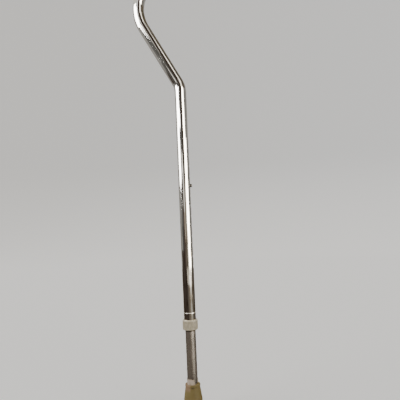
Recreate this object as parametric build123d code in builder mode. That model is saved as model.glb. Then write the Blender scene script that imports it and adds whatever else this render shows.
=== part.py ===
from build123d import *

import os
from math import cos, radians, sin, sqrt, tan

# Adjustable walking cane with an offset (swan-neck) handle. All sizes in millimetres.
#
# Frame: the origin is the centre of the rubber tip's sole. +Z runs up the shaft.
# +X is the way the handle and the snap button point. The cane is symmetric about XZ.
#
# The leg (lower tube, tip and snap button) slides in the upper tube. The snap button
# drops into one of a row of holes, and the collar at the joint clamps the two tubes.

# --- Driving dimensions ------------------------------------------------------------

UPPER_R = 22.225 / 2        # 7/8 in handle tube
UPPER_WALL = 1.02
LOWER_R = 19.05 / 2         # 3/4 in leg tube
LOWER_WALL = 1.2

SHAFT_BEND_Z = 607.0        # where the shaft's axis meets the slanted run
SHAFT_BEND_ANGLE = 29.0     # the slanted run leans this far back from the shaft
SHAFT_BEND_R = 40.0
HANDLE_Z = 837.0            # the handle's axis
NECK_R = 75.0               # the swan neck's centreline radius
HANDLE_TUBE_END = 118.0     # X of the handle tube's open end

COLLAR_BOTTOM_Z = 147.5
COLLAR_TOP_Z = 166.0
COLLAR_R = 14.0
TUBE_IN_COLLAR = 7.0        # how far above the collar's foot the upper tube ends
TUBE_BOTTOM_Z = COLLAR_BOTTOM_Z + TUBE_IN_COLLAR
BEAD_Z = 179.0              # rolled groove that stops the bush's liner
BEAD_DEPTH = 0.25
BEAD_ARC_R = 2.0

BUTTON_Z = 415.0            # the snap button, at rest in its hole
HOLE_PITCH = 19.05          # 3/4 in steps
HOLES_BELOW = 8
HOLES_ABOVE = 4
ADJUST_HOLE_R = 3.5
LEG_HOLE_R = 3.4

LEG_BOTTOM_Z = 8.0
LEG_ABOVE_BUTTON = 25.0
LEG_TOP_Z = BUTTON_Z + LEG_ABOVE_BUTTON

TIP_HEIGHT = 50.0
TIP_SOLE_R = 19.5
TIP_SOLE_THICKNESS = 6.5
TIP_BORE_R = 10.2

GRIP_START_X = 8.0
GRIP_END_X = 124.0
GRIP_R = 16.3

# --- Sizes that follow from them ----------------------------------------------------

UPPER_BORE_R = UPPER_R - UPPER_WALL
LOWER_BORE_R = LOWER_R - LOWER_WALL
FIT = 0.04                  # between pieces that are fixed to each other
RUNNING = 0.06              # between pieces that slide or turn on each other
CLEAR = 0.35                # between pieces that move past each other

neck_rise = HANDLE_Z - SHAFT_BEND_Z
neck_corner_x = -neck_rise * tan(radians(SHAFT_BEND_ANGLE))


def ring(radius, bore):
    """Sketch a flat ring in the current sketch."""
    Circle(radius)
    Circle(bore, mode=Mode.SUBTRACT)


def outline(*points):
    """Fill a closed straight-sided outline in the current sketch."""
    Polygon(*points, align=None)


os.makedirs("parts", exist_ok=True)

# --- Upper tube: shaft, slanted run, swan neck and handle in one bent tube ----------

with BuildPart() as upper_tube:
    with BuildLine(Plane.XZ) as tube_route:
        FilletPolyline(
            (0, TUBE_BOTTOM_Z),
            (0, SHAFT_BEND_Z),
            (neck_corner_x, HANDLE_Z),
            (HANDLE_TUBE_END, HANDLE_Z),
            radius=[SHAFT_BEND_R, NECK_R],
        )
    with BuildSketch(Plane.XY.offset(TUBE_BOTTOM_Z)):
        ring(UPPER_R, UPPER_BORE_R)
    sweep(path=tube_route.wire())
    # The rolled groove: a hollow outside and the matching bead inside.
    with BuildSketch(Plane.XZ):
        with Locations((UPPER_R + BEAD_ARC_R - BEAD_DEPTH, BEAD_Z)):
            Circle(BEAD_ARC_R)
    revolve(axis=Axis.Z, mode=Mode.SUBTRACT)
    with BuildSketch(Plane.XZ):
        with Locations((UPPER_BORE_R + BEAD_ARC_R - BEAD_DEPTH, BEAD_Z)):
            Circle(BEAD_ARC_R)
        with Locations((UPPER_BORE_R, BEAD_Z)):
            Rectangle(2 * BEAD_DEPTH, 2 * BEAD_ARC_R, mode=Mode.INTERSECT)
    revolve(axis=Axis.Z)
    # The row of adjusting holes, through the front wall only.
    with BuildSketch(Plane.YZ):
        with Locations(*[
            (0, BUTTON_Z + step * HOLE_PITCH)
            for step in range(-HOLES_BELOW, HOLES_ABOVE + 1)
        ]):
            Circle(ADJUST_HOLE_R)
    extrude(amount=2 * UPPER_R, mode=Mode.SUBTRACT)

upper_tube.part.label = "upper_tube"
export_step(upper_tube.part, "parts/upper_tube.step")

# --- Handle grip: a moulded sleeve with a closed, domed nose ------------------------

GRIP_BORE_R = UPPER_R + FIT
GRIP_RIM_R = 15.6           # the rolled rim at the open end
GRIP_RIM_LENGTH = 5.0
GRIP_RIM_EDGE = 1.0         # its broken edge
GRIP_RIM_TAPER = 4.0        # from the rim down to the waist beside it
GRIP_WAIST_R = 14.6
GRIP_NOSE_WAIST_R = 15.2
GRIP_NOSE_TAPER = 6.0       # from the other waist up to the nose
GRIP_NOSE_R = 16.5
GRIP_NOSE_LAND = 2.0        # the nose's straight stretch
GRIP_NOSE_LENGTH = 9.0
GRIP_NOSE_FLAT_R = 6.0
GRIP_NOSE_WALL = 4.5

with BuildPart() as handle_grip:
    with BuildSketch(Plane.XZ):
        rim_end_x = GRIP_START_X + GRIP_RIM_LENGTH
        waist = (rim_end_x + GRIP_RIM_TAPER, HANDLE_Z + GRIP_WAIST_R)
        bore_end_x = GRIP_END_X - GRIP_NOSE_WALL
        nose_x = GRIP_END_X - GRIP_NOSE_LENGTH
        nose_flat = (GRIP_END_X, HANDLE_Z + GRIP_NOSE_FLAT_R)
        nose_land_end = (nose_x + GRIP_NOSE_LAND, HANDLE_Z + GRIP_NOSE_R)
        nose_waist = (nose_x - GRIP_NOSE_TAPER, HANDLE_Z + GRIP_NOSE_WAIST_R)
        middle = ((GRIP_START_X + GRIP_END_X) / 2, HANDLE_Z + GRIP_R)
        with BuildLine():
            Polyline(
                waist,
                (rim_end_x, HANDLE_Z + GRIP_RIM_R),
                (GRIP_START_X + GRIP_RIM_EDGE, HANDLE_Z + GRIP_RIM_R),
                (GRIP_START_X, HANDLE_Z + GRIP_RIM_R - GRIP_RIM_EDGE),
                (GRIP_START_X, HANDLE_Z + GRIP_BORE_R),
                (bore_end_x, HANDLE_Z + GRIP_BORE_R),
                (bore_end_x, HANDLE_Z),
                (GRIP_END_X, HANDLE_Z),
                nose_flat,
            )
            TangentArc(nose_flat, nose_land_end, tangent=(0, 1))
            Polyline(nose_land_end, (nose_x, HANDLE_Z + GRIP_NOSE_R), nose_waist)
            ThreePointArc(nose_waist, middle, waist)
        make_face()
    revolve(axis=Axis((0, 0, HANDLE_Z), (1, 0, 0)))

handle_grip.part.label = "handle_grip"
export_step(handle_grip.part, "parts/handle_grip.step")

# --- Handle end plug: closes the tube's end under the grip --------------------------

PLUG_LENGTH = 10.0
PLUG_FLANGE = 1.2
PLUG_WALL = 2.0

with BuildPart() as handle_end_plug:
    handle_end = Plane((HANDLE_TUBE_END, 0, HANDLE_Z), x_dir=(0, 1, 0), z_dir=(1, 0, 0))
    with BuildSketch(handle_end):
        Circle(UPPER_R - FIT)
    extrude(amount=PLUG_FLANGE)
    with BuildSketch(handle_end):
        ring(UPPER_BORE_R - FIT, UPPER_BORE_R - PLUG_WALL)
    extrude(amount=-PLUG_LENGTH)

handle_end_plug.part.label = "handle_end_plug"
export_step(handle_end_plug.part, "parts/handle_end_plug.step")

# --- Collet bush: liner inside the tube, threaded sleeve outside, split fingers below

BUSH_BORE_R = LOWER_R + RUNNING
THREAD_R = 12.5
THREAD_ROOT_R = 12.1
THREAD_PITCH = 2.0
THREAD_TURNS = 5
THREAD_START_Z = TUBE_BOTTOM_Z + 0.5
THREAD_OVERCUT = 0.1
BUSH_TOP_Z = COLLAR_TOP_Z - 0.8
BUSH_EDGE = 0.5             # the thread's broken lower edge
LINER_TOP_Z = BEAD_Z - BEAD_ARC_R / 2
FINGER_TOP_Z = COLLAR_BOTTOM_Z + 4.6
FINGER_BOTTOM_Z = COLLAR_BOTTOM_Z + 1.0
FINGER_FOOT_R = 10.9
FINGER_COUNT = 6
FINGER_SLIT = 1.0

with BuildPart() as collet_bush:
    with BuildSketch(Plane.XZ):
        outline(
            (BUSH_BORE_R, FINGER_BOTTOM_Z),
            (FINGER_FOOT_R, FINGER_BOTTOM_Z),
            (THREAD_R - BUSH_EDGE, FINGER_TOP_Z),
            (THREAD_R, FINGER_TOP_Z + BUSH_EDGE),
            (THREAD_R, BUSH_TOP_Z),
            (UPPER_R + FIT, BUSH_TOP_Z),
            (UPPER_R + FIT, TUBE_BOTTOM_Z),
            (UPPER_BORE_R - FIT, TUBE_BOTTOM_Z),
            (UPPER_BORE_R - FIT, LINER_TOP_Z),
            (BUSH_BORE_R, LINER_TOP_Z),
        )
    revolve(axis=Axis.Z)
    with BuildSketch(Plane.XZ):
        for turn in range(THREAD_TURNS):
            root_z = THREAD_START_Z + turn * THREAD_PITCH
            outline(
                (THREAD_ROOT_R, root_z),
                (THREAD_R + THREAD_OVERCUT, root_z - THREAD_PITCH / 4),
                (THREAD_R + THREAD_OVERCUT, root_z + THREAD_PITCH / 4),
            )
    revolve(axis=Axis.Z, mode=Mode.SUBTRACT)
    with BuildSketch(Plane.XY.offset(FINGER_BOTTOM_Z)):
        with PolarLocations(THREAD_R, FINGER_COUNT):
            Rectangle(THREAD_R, FINGER_SLIT)
    extrude(amount=FINGER_TOP_Z - FINGER_BOTTOM_Z, mode=Mode.SUBTRACT)

collet_bush.part.label = "collet_bush"
export_step(collet_bush.part, "parts/collet_bush.step")

# --- Collar nut: turns on the bush's thread and squeezes its fingers on the leg -----

NUT_BORE_R = THREAD_R + RUNNING
NUT_LIP_R = LOWER_R + CLEAR
NUT_LIP_TOP_Z = COLLAR_BOTTOM_Z + 0.65
NUT_CONE_R = FINGER_FOOT_R + CLEAR + 0.05   # the squeezing cone's foot
NUT_CONE_TOP_Z = FINGER_TOP_Z + 0.4
NUT_TOP_ROUND = 1.0
NUT_BOTTOM_ROUND = 1.6
RIB_COUNT = 30
RIB_GROOVE_R = 0.9
RIB_GROOVE_DEPTH = 0.35
RIB_MARGIN = 3.2

with BuildPart() as collar_nut:
    with BuildSketch(Plane.XZ):
        outline(
            (NUT_LIP_R, COLLAR_BOTTOM_Z),
            (COLLAR_R, COLLAR_BOTTOM_Z),
            (COLLAR_R, COLLAR_TOP_Z),
            (NUT_BORE_R, COLLAR_TOP_Z),
            (NUT_BORE_R, NUT_CONE_TOP_Z),
            (NUT_CONE_R, FINGER_BOTTOM_Z),
            (NUT_CONE_R, NUT_LIP_TOP_Z),
            (NUT_LIP_R, NUT_LIP_TOP_Z),
        )
    revolve(axis=Axis.Z)
    outer_rims = collar_nut.edges().filter_by(GeomType.CIRCLE).group_by(SortBy.RADIUS)[-1]
    fillet(outer_rims.sort_by(Axis.Z)[-1], radius=NUT_TOP_ROUND)
    fillet(outer_rims.sort_by(Axis.Z)[0], radius=NUT_BOTTOM_ROUND)
    with BuildSketch(Plane.XY.offset(COLLAR_BOTTOM_Z + RIB_MARGIN)):
        with PolarLocations(COLLAR_R + RIB_GROOVE_R - RIB_GROOVE_DEPTH, RIB_COUNT):
            Circle(RIB_GROOVE_R)
    extrude(amount=COLLAR_TOP_Z - COLLAR_BOTTOM_Z - 2 * RIB_MARGIN, mode=Mode.SUBTRACT)

collar_nut.part.label = "collar_nut"
export_step(collar_nut.part, "parts/collar_nut.step")

# --- Lower tube ---------------------------------------------------------------------

with BuildPart() as lower_tube:
    with BuildSketch(Plane.XY.offset(LEG_BOTTOM_Z)):
        ring(LOWER_R, LOWER_BORE_R)
    extrude(amount=LEG_TOP_Z - LEG_BOTTOM_Z)
    with BuildSketch(Plane.YZ):
        with Locations((0, BUTTON_Z)):
            Circle(LEG_HOLE_R)
    extrude(amount=2 * LOWER_R, mode=Mode.SUBTRACT)

lower_tube.part.label = "lower_tube"
export_step(lower_tube.part, "parts/lower_tube.step")

# --- Guide bush: keeps the leg's top central in the upper tube ----------------------

GUIDE_FLANGE = 7.0
GUIDE_SPIGOT = 8.0
GUIDE_BORE_R = 5.0
GUIDE_CHAMFER = 0.8

with BuildPart() as guide_bush:
    with BuildSketch(Plane.XY.offset(LEG_TOP_Z)):
        ring(UPPER_BORE_R - RUNNING, GUIDE_BORE_R)
    extrude(amount=GUIDE_FLANGE)
    with BuildSketch(Plane.XY.offset(LEG_TOP_Z)):
        ring(LOWER_BORE_R - FIT, GUIDE_BORE_R)
    extrude(amount=-GUIDE_SPIGOT)
    chamfer(guide_bush.edges().filter_by(GeomType.CIRCLE).sort_by(Axis.Z)[-1], length=GUIDE_CHAMFER)

guide_bush.part.label = "guide_bush"
export_step(guide_bush.part, "parts/guide_bush.step")

# --- Snap button: domed pin with a flange, riveted to the spring leaf ---------------

BUTTON_R = 3.1
BUTTON_PROUD = 3.3          # how far the dome stands out of the upper tube
BUTTON_FLANGE_R = 3.9
BUTTON_FLANGE_X = 6.3       # the flange's inner face
BUTTON_FLANGE_THICKNESS = 0.7
BUTTON_DOME_ROUND = 1.6
LEAF_THICKNESS = 0.6
LEAF_GAP = 0.1              # between the leaf and the flange
RIVET_R = 1.5
RIVET_HEAD_R = 2.4
RIVET_HEAD_THICKNESS = 0.8
button_tip_x = UPPER_R + BUTTON_PROUD
leaf_x = BUTTON_FLANGE_X - LEAF_GAP - LEAF_THICKNESS / 2
rivet_head_x = leaf_x - LEAF_THICKNESS / 2 - LEAF_GAP
flange_top_x = BUTTON_FLANGE_X + BUTTON_FLANGE_THICKNESS

with BuildPart() as snap_button:
    with BuildSketch(Plane.XZ):
        outline(
            (rivet_head_x - RIVET_HEAD_THICKNESS, BUTTON_Z),
            (rivet_head_x - RIVET_HEAD_THICKNESS, BUTTON_Z + RIVET_HEAD_R),
            (rivet_head_x, BUTTON_Z + RIVET_HEAD_R),
            (rivet_head_x, BUTTON_Z + RIVET_R),
            (BUTTON_FLANGE_X, BUTTON_Z + RIVET_R),
            (BUTTON_FLANGE_X, BUTTON_Z + BUTTON_FLANGE_R),
            (flange_top_x, BUTTON_Z + BUTTON_FLANGE_R),
            (flange_top_x, BUTTON_Z + BUTTON_R),
            (button_tip_x, BUTTON_Z + BUTTON_R),
            (button_tip_x, BUTTON_Z),
        )
    revolve(axis=Axis((0, 0, BUTTON_Z), (1, 0, 0)))
    fillet(snap_button.faces().sort_by(Axis.X)[-1].edges(), radius=BUTTON_DOME_ROUND)

snap_button.part.label = "snap_button"
export_step(snap_button.part, "parts/snap_button.step")

# --- Snap spring: a V-shaped leaf that pushes the button out ------------------------

LEAF_WIDTH = 6.0
SPRING_BOTTOM_Z = BUTTON_Z - 36
SPRING_TOP_Z = BUTTON_Z + 7
SPRING_BEND_Z = BUTTON_Z - 6        # both leaves run straight above their bends
SPRING_FAR_BEND_Z = SPRING_TOP_Z - 8
SPRING_FOOT_X = (0.6, -1.4)         # the V's blunt foot
SPRING_BEND_R = 4.0
SPRING_FOOT_R = 0.8
RIVET_HOLE_R = RIVET_R + 0.2
far_leaf_x = -(sqrt(LOWER_BORE_R ** 2 - (LEAF_WIDTH / 2) ** 2) - LEAF_THICKNESS)

with BuildPart() as snap_spring:
    with BuildSketch(Plane.XZ):
        with BuildLine():
            FilletPolyline(
                (leaf_x, SPRING_TOP_Z),
                (leaf_x, SPRING_BEND_Z),
                (SPRING_FOOT_X[0], SPRING_BOTTOM_Z),
                (SPRING_FOOT_X[1], SPRING_BOTTOM_Z),
                (far_leaf_x, SPRING_FAR_BEND_Z),
                (far_leaf_x, SPRING_TOP_Z),
                radius=[SPRING_BEND_R, SPRING_FOOT_R, SPRING_FOOT_R, SPRING_BEND_R],
            )
        trace(line_width=LEAF_THICKNESS)
    extrude(amount=LEAF_WIDTH / 2, both=True)
    with BuildSketch(Plane.YZ):
        with Locations((0, BUTTON_Z)):
            Circle(RIVET_HOLE_R)
    extrude(amount=LOWER_R, mode=Mode.SUBTRACT)

snap_spring.part.label = "snap_spring"
export_step(snap_spring.part, "parts/snap_spring.step")

# --- Tip shim: a pale strip wrapped round the leg that packs out the tip's bore -----

SHIM_BOTTOM_Z = 12.0
SHIM_TOP_Z = 59.5
SHIM_R = TIP_BORE_R - FIT
SHIM_GAP_CENTRE = -28.0     # degrees about Z; the strip doesn't meet all the way round
SHIM_GAP = 80.0

with BuildPart() as tip_shim:
    with BuildSketch(Plane.XY.offset(SHIM_BOTTOM_Z)):
        ring(SHIM_R, LOWER_R + FIT)
        gap_start = SHIM_GAP_CENTRE - SHIM_GAP / 2
        gap_end = SHIM_GAP_CENTRE + SHIM_GAP / 2
        far = 2 * SHIM_R
        with BuildLine():
            Polyline(
                (0, 0),
                (far * cos(radians(gap_start)), far * sin(radians(gap_start))),
                (far * cos(radians(gap_end)), far * sin(radians(gap_end))),
                close=True,
            )
        make_face(mode=Mode.SUBTRACT)
    extrude(amount=SHIM_TOP_Z - SHIM_BOTTOM_Z)

tip_shim.part.label = "tip_shim"
export_step(tip_shim.part, "parts/tip_shim.step")

# --- Tip washer: steel disc that stops the leg cutting through the rubber -----------

WASHER_R = TIP_BORE_R - CLEAR
WASHER_HOLE_R = 4.0

with BuildPart() as tip_washer:
    with BuildSketch(Plane.XY.offset(TIP_SOLE_THICKNESS)):
        ring(WASHER_R, WASHER_HOLE_R)
    extrude(amount=LEG_BOTTOM_Z - TIP_SOLE_THICKNESS)

tip_washer.part.label = "tip_washer"
export_step(tip_washer.part, "parts/tip_washer.step")

# --- Rubber tip: bell-shaped ferrule with a ringed sole -----------------------------

TIP_MOUTH_R = 13.8
TIP_MOUTH_EDGE = 1.0
TIP_BORE_EDGE = 0.6
TIP_WAIST_R = 17.0
TIP_WAIST_Z = 22.0
TIP_FLARE = (18.0, 13.5)    # radius and height halfway down the flare
TIP_SOLE_EDGE = 1.0
TIP_SOLE_TOP_Z = 6.0
SOLE_GROOVE_DEPTH = 1.5
SOLE_GROOVE_WIDTH = 1.6
SOLE_GROOVES = (7.0, 11.0, 15.0)

with BuildPart() as rubber_tip:
    with BuildSketch(Plane.XZ):
        with BuildLine():
            Polyline(
                (TIP_WAIST_R, TIP_WAIST_Z),
                (TIP_MOUTH_R, TIP_HEIGHT - TIP_MOUTH_EDGE),
                (TIP_MOUTH_R - TIP_MOUTH_EDGE, TIP_HEIGHT),
                (TIP_BORE_R + TIP_BORE_EDGE, TIP_HEIGHT),
                (TIP_BORE_R, TIP_HEIGHT - TIP_BORE_EDGE),
                (TIP_BORE_R, TIP_SOLE_THICKNESS),
                (0, TIP_SOLE_THICKNESS),
                (0, 0),
                (TIP_SOLE_R - TIP_SOLE_EDGE, 0),
                (TIP_SOLE_R, TIP_SOLE_EDGE),
                (TIP_SOLE_R, TIP_SOLE_TOP_Z),
            )
            ThreePointArc((TIP_SOLE_R, TIP_SOLE_TOP_Z), TIP_FLARE, (TIP_WAIST_R, TIP_WAIST_Z))
        make_face()
    revolve(axis=Axis.Z)
    with BuildSketch(Plane.XY):
        for groove_r in SOLE_GROOVES:
            Circle(groove_r + SOLE_GROOVE_WIDTH / 2)
            Circle(groove_r - SOLE_GROOVE_WIDTH / 2, mode=Mode.SUBTRACT)
    extrude(amount=SOLE_GROOVE_DEPTH, mode=Mode.SUBTRACT)

rubber_tip.part.label = "rubber_tip"
export_step(rubber_tip.part, "parts/rubber_tip.step")
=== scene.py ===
from math import asin, atan2, cos, pi, radians, sin, tan

import bmesh
import bpy
from mathutils import Matrix, Vector


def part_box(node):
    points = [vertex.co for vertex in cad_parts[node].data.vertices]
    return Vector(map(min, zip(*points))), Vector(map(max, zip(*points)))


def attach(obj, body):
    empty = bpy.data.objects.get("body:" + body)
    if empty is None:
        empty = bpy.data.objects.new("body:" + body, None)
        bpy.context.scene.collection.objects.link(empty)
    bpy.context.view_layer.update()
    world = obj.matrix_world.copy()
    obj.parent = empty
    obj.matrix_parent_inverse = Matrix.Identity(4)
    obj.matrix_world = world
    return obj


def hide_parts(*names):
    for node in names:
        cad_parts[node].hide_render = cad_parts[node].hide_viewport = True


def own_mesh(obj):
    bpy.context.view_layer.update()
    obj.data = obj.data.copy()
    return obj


# An adjustable walking cane with an offset handle. Metres, in the CAD's frame: the origin
# is the centre of the tip's sole, +Z runs up the shaft, and the handle points along +X.

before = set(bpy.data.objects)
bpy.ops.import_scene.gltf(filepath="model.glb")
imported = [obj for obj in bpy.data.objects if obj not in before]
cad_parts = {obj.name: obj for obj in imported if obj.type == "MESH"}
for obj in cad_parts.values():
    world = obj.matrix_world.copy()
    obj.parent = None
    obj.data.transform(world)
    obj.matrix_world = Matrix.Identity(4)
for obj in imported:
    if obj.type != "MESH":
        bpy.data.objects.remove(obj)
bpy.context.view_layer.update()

MM = 0.001

# --- Camera ---------------------------------------------------------------------------

CAMERA_PLACE = Vector((0.0284, -0.8138, 0.3299))
CAMERA_PITCH = radians(4.0)
CAMERA_ROLL = radians(-2.56)
CAMERA_LENS = 38.79
CAMERA_SENSOR = 36.0


def make_camera():
    """A look along +Y, square to the bent tube's plane, pitched up and rolled a little."""
    data = bpy.data.cameras.new("camera")
    data.lens = CAMERA_LENS
    data.sensor_width = CAMERA_SENSOR
    data.clip_start = 0.02
    data.clip_end = 50.0
    camera = bpy.data.objects.new("camera", data)
    looking_level = Matrix.Rotation(radians(90), 4, "X")
    pitched = Matrix.Rotation(CAMERA_PITCH, 4, "X")
    rolled = Matrix.Rotation(CAMERA_ROLL, 4, "Z")
    camera.matrix_world = Matrix.Translation(CAMERA_PLACE) @ pitched @ looking_level @ rolled
    bpy.context.scene.collection.objects.link(camera)
    bpy.context.scene.camera = camera


make_camera()

# --- Sizes read from the frame --------------------------------------------------------

tube_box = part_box("upper_tube")
leg_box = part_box("lower_tube")
grip_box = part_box("handle_grip")
collar_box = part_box("collar_nut")
button_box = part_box("snap_button")
spring_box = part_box("snap_spring")
shim_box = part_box("tip_shim")
tip_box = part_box("rubber_tip")

TUBE_R = tube_box[1].y
TUBE_WALL = 1.02 * MM
TUBE_BOTTOM_Z = tube_box[0].z
HANDLE_Z = tube_box[1].z - TUBE_R
HANDLE_END_X = tube_box[1].x
SHAFT_BEND_Z = 607 * MM
SHAFT_BEND_ANGLE = radians(29)
SHAFT_BEND_R = 40 * MM
NECK_R = 75 * MM
GROOVE_Z = 179 * MM
GROOVE_DEPTH = 0.12 * MM
GROOVE_HALF_WIDTH = 0.9 * MM

BUTTON_Z = (button_box[0].z + button_box[1].z) / 2
HOLE_PITCH = 19.05 * MM
HOLES_BELOW = 8
HOLES_ABOVE = 4
HOLE_R = 3.5 * MM

LEG_R = leg_box[1].y
LEG_WALL = 1.2 * MM
LEG_HOLE_R = 3.4 * MM

# --- Mesh helpers ---------------------------------------------------------------------

SHARP_ANGLE = radians(32)
POLE_R = 1e-7               # a radius below this is a point on the axis


def mesh_object(name, points, faces, straight=None, hollow=None):
    """Make a smooth-shaded object. straight and hollow are one value for each point:
    its place on the unbent, unrolled piece, and how deep it lies in a groove, 0 to 1."""
    mesh = bpy.data.meshes.new(name)
    mesh.from_pydata([tuple(point) for point in points], [], faces)
    if straight:
        layer = mesh.attributes.new("straight", "FLOAT_VECTOR", "POINT")
        layer.data.foreach_set("vector", [value for point in straight for value in point])
    if hollow:
        layer = mesh.attributes.new("hollow", "FLOAT", "POINT")
        layer.data.foreach_set("value", hollow)
    builder = bmesh.new()
    builder.from_mesh(mesh)
    bmesh.ops.recalc_face_normals(builder, faces=builder.faces)
    builder.to_mesh(mesh)
    builder.free()
    mesh.shade_smooth()
    mesh.set_sharp_from_angle(angle=SHARP_ANGLE)
    made = bpy.data.objects.new(name, mesh)
    bpy.context.scene.collection.objects.link(made)
    return made


def rounded(corners, steps=4):
    """Points of an outline whose corners, (across, along, fillet radius), are rounded."""
    points = []
    for index, (across, along, radius) in enumerate(corners):
        here = Vector((across, along))
        if radius == 0 or index in (0, len(corners) - 1):
            points.append(here)
            continue
        back = (Vector(corners[index - 1][:2]) - here).normalized()
        ahead = (Vector(corners[index + 1][:2]) - here).normalized()
        half_angle = back.angle(ahead) / 2
        reach = radius / tan(half_angle)
        centre = here + (back + ahead).normalized() * radius / sin(half_angle)
        start = here + back * reach - centre
        turn = start.angle_signed(here + ahead * reach - centre)
        for step in range(steps + 1):
            arm = start.copy()
            arm.rotate(Matrix.Rotation(-turn * step / steps, 2))
            points.append(centre + arm)
    return points


def subdivided(outline, spacing):
    """The outline, with more points on its long straight stretches."""
    points = []
    for here, ahead in zip(outline, outline[1:] + outline[:1]):
        count = max(1, round((ahead - here).length / spacing))
        points += [here.lerp(ahead, step / count) for step in range(count)]
    return points


def lathe(name, outline, segments, place=None, relief=None, closed=True):
    """Turn an outline of (radius, along) points about an axis. place maps a point of the
    turned shape, with its axis on Z, into the frame. relief(angle, radius, along) is how
    deep the surface is cut there, and hollow follows it from 0 to 1."""
    points = []
    hollow = []
    rows = []
    for radius, along in outline:
        if radius < POLE_R:
            rows.append([len(points)])
            points.append(Vector((0, 0, along)))
            hollow.append(0.0)
            continue
        rows.append(list(range(len(points), len(points) + segments)))
        for step in range(segments):
            angle = 2 * pi * step / segments
            depth = relief(angle, radius, along) if relief else 0.0
            reach = radius - depth
            points.append(Vector((reach * cos(angle), reach * sin(angle), along)))
            hollow.append(depth)
    faces = []
    pairs = list(zip(rows, rows[1:] + rows[:1])) if closed else list(zip(rows, rows[1:]))
    for lower, upper in pairs:
        faces += band(lower, upper)
    deepest = max(hollow) or 1.0
    made_points = [place @ point for point in points] if place else points
    return mesh_object(name, made_points, faces, points, [depth / deepest for depth in hollow])


def band(lower, upper):
    """Faces between two closed rows of points; a row of one point is a pole."""
    if len(lower) == 1 and len(upper) == 1:
        return []
    count = max(len(lower), len(upper))
    faces = []
    for step in range(count):
        following = (step + 1) % count
        if len(lower) == 1:
            faces.append((lower[0], upper[following], upper[step]))
        elif len(upper) == 1:
            faces.append((lower[step], lower[following], upper[0]))
        else:
            faces.append((lower[step], lower[following], upper[following], upper[step]))
    return faces


def rib_wave(angle, ribs):
    """0 on top of each of the ribs round a turned piece, and 1 midway between two."""
    return (0.5 - 0.5 * cos(angle * ribs)) ** 2


# --- Tubes with holes -----------------------------------------------------------------

SEGMENTS = 72
HOLE_COLUMNS = 6            # a hole's patch reaches this many segments to each side
HOLE_ROWS = 12              # and is this many rows of faces high
EDGE_BREAK = 0.15 * MM      # the deburred edge of a drilled hole
PATCH_SHARES = (0.08, 0.25, 0.5, 0.75)      # where its rings lie, from rim to border


class Route:
    """The centreline of a tube in the XZ plane: straight runs joined by bends."""

    def __init__(self, start, runs):
        self.start = start
        self.runs = runs        # (length, turn towards +X in radians)
        self.length = sum(length for length, turn in runs)

    def station(self, distance):
        """(centre, direction across towards the front) at that distance from the start."""
        centre = self.start.copy()
        heading = 0.0
        for length, turn in self.runs:
            part = min(max(distance, 0.0), length)
            distance -= length
            if turn:
                radius = length / turn
                swept = turn * part / length
                centre += radius * (Vector((cos(heading), 0, -sin(heading)))
                                    - Vector((cos(heading + swept), 0, -sin(heading + swept))))
                heading += swept
            else:
                centre += part * Vector((sin(heading), 0, cos(heading)))
            if distance <= 0:
                break
        return centre, Vector((cos(heading), 0, -sin(heading)))

    def place(self, radius, angle, distance):
        centre, across = self.station(distance)
        return centre + radius * (cos(angle) * across + sin(angle) * Vector((0, 1, 0)))


class Wall:
    """Points and faces of a tube's two surfaces, built up ring by ring."""

    def __init__(self, route):
        self.route = route
        self.points = []
        self.straight = []
        self.faces = []

    def point(self, radius, angle, distance):
        self.points.append(self.route.place(radius, angle, distance))
        self.straight.append((radius * cos(angle), radius * sin(angle), distance))
        return len(self.points) - 1

    def surface(self, radius_at, distances, holes, hole_radius):
        """One surface, open at both ends. Returns its end rows and each hole's rim."""
        rows = []
        for distance in distances:
            radius = radius_at(distance)
            row = [self.point(radius, 2 * pi * step / SEGMENTS, distance)
                   for step in range(SEGMENTS)]
            rows.append(row)
        patched = set()
        rims = []
        for hole in holes:
            first = min(range(len(distances)),
                        key=lambda row: abs(distances[row] - (hole - HOLE_PITCH / 2)))
            patched.update(range(first, first + HOLE_ROWS))
            rims.append(self.patch(rows, first, radius_at(hole), hole, hole_radius))
        for index, (lower, upper) in enumerate(zip(rows, rows[1:])):
            for step in range(SEGMENTS):
                near_front = step < HOLE_COLUMNS or step >= SEGMENTS - HOLE_COLUMNS
                if index in patched and near_front:
                    continue
                following = (step + 1) % SEGMENTS
                self.faces.append((lower[step], lower[following], upper[following], upper[step]))
        return rows[0], rows[-1], rims

    def patch(self, rows, first, radius, hole, hole_radius):
        """Fill the front of a few rows round a hole. Returns the hole's rim."""
        last = first + HOLE_ROWS
        columns = range(-HOLE_COLUMNS, HOLE_COLUMNS)
        border = [rows[first][column] for column in columns]
        border += [rows[row][HOLE_COLUMNS] for row in range(first, last)]
        border += [rows[last][-column] for column in columns]
        border += [rows[row][-HOLE_COLUMNS] for row in range(last, first, -1)]
        edge_places = []
        for index in border:
            x, y, distance = self.straight[index]
            edge_places.append((atan2(y, x), distance - hole))
        rings = []
        for share in (0.0, *PATCH_SHARES):
            ring = []
            for side, up in edge_places:
                bearing = atan2(up, TUBE_R * side)      # near enough on the leg too
                rim_side = asin(hole_radius * cos(bearing) / radius)
                rim_up = hole_radius * sin(bearing)
                ring.append(self.point(
                    radius,
                    rim_side + (side - rim_side) * share,
                    hole + rim_up + (up - rim_up) * share,
                ))
            rings.append(ring)
        rings.append(border)
        for inner, outer in zip(rings, rings[1:]):
            self.faces += band(inner, outer)
        return rings[0]


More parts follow.
